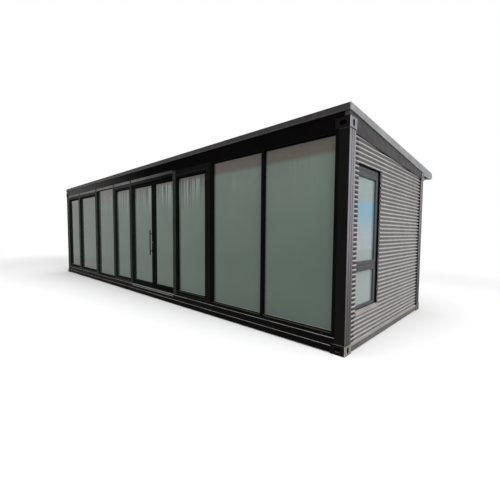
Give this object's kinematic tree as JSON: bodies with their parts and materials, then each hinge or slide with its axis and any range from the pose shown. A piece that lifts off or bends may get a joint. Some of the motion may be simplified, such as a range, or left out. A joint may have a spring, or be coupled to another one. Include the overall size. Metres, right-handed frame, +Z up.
{
  "type": "glazed container cabin",
  "caption": "Steel container cabin with a single-pitch roof, full-height glass front, hinged double glass door, corrugated walls and a narrow end window.",
  "frame": {"origin": "on the ground under the middle of the whole footprint, with the back eave", "axes": "+X along the cabin to its right end seen from the front, +Y from the glass front to the back, +Z up"},
  "size_m": [10, 3.576, 2.778],
  "materials": {
    "black_steel": "satin near-black paint on folded steel",
    "grey_steel": "satin dark grey paint on steel",
    "floor_board": "sealed board floor",
    "ceiling_board": "white coated lining",
    "wall_panel": "white coated insulated panel",
    "corrugated_sheet": "satin grey coated corrugated sheet",
    "window_profile": "satin dark powder coat on aluminium",
    "clear_glass": "clear sealed glass unit",
    "film_glass": "sealed glass unit behind a grey-green film",
    "edge_trim": "satin light grey flashing",
    "threshold_plate": "brushed mill finish",
    "hardware": "satin black",
    "roof_sheet": "satin grey coated roof sheet"
  },
  "bodies": {
    "cabin": {"base_castings": "black_steel", "top_castings": "black_steel", "front_posts": "black_steel", "back_posts": "black_steel", "front_base_rail": "black_steel", "back_base_rail": "black_steel", "end_base_rails": "grey_steel", "front_top_rail": "black_steel", "back_top_rail": "black_steel", "end_top_rails": "grey_steel", "floor_joists": "black_steel", "floor_deck": "floor_board", "ceiling": "ceiling_board", "back_wall": "wall_panel", "back_cladding": "corrugated_sheet", "left_wall": "wall_panel", "left_cladding": "corrugated_sheet", "right_wall": "wall_panel", "right_wall_infill": "wall_panel", "right_cladding": "corrugated_sheet", "window_frame": "window_profile", "window_glass": "clear_glass", "window_trim": "edge_trim", "front_sill": "black_steel", "front_column": "black_steel", "mullions": "window_profile", "glazing_heads": "window_profile", "fixed_light_frames": "window_profile", "fixed_light_glass": "film_glass", "vent_frames": "window_profile", "vent_glass": "film_glass", "door_head": "window_profile", "door_threshold": "threshold_plate", "jamb_hinges": "hardware", "roof_rafters": "grey_steel", "eaves_beams": "grey_steel", "roof_panel": "roof_sheet", "front_fascia": "grey_steel", "roof_end_trims": "edge_trim", "rear_eave": "edge_trim"},
    "right_leaf": {"right_leaf_frame": "window_profile", "right_leaf_glass": "film_glass"},
    "left_leaf": {"left_leaf_frame": "window_profile", "left_leaf_glass": "film_glass", "pull_handles": "hardware"}
  },
  "joints": [
    {"name": "right_leaf_hinge", "type": "hinge", "parent": "cabin", "child": "right_leaf", "pos_m": [1.507, -1.737, 1.31], "axis": [0, 0, 1], "range_deg": [0, 90]},
    {"name": "left_leaf_hinge", "type": "hinge", "parent": "cabin", "child": "left_leaf", "pos_m": [-0.187, -1.737, 1.31], "axis": [0, 0, -1], "range_deg": [0, 90]}
  ]
}
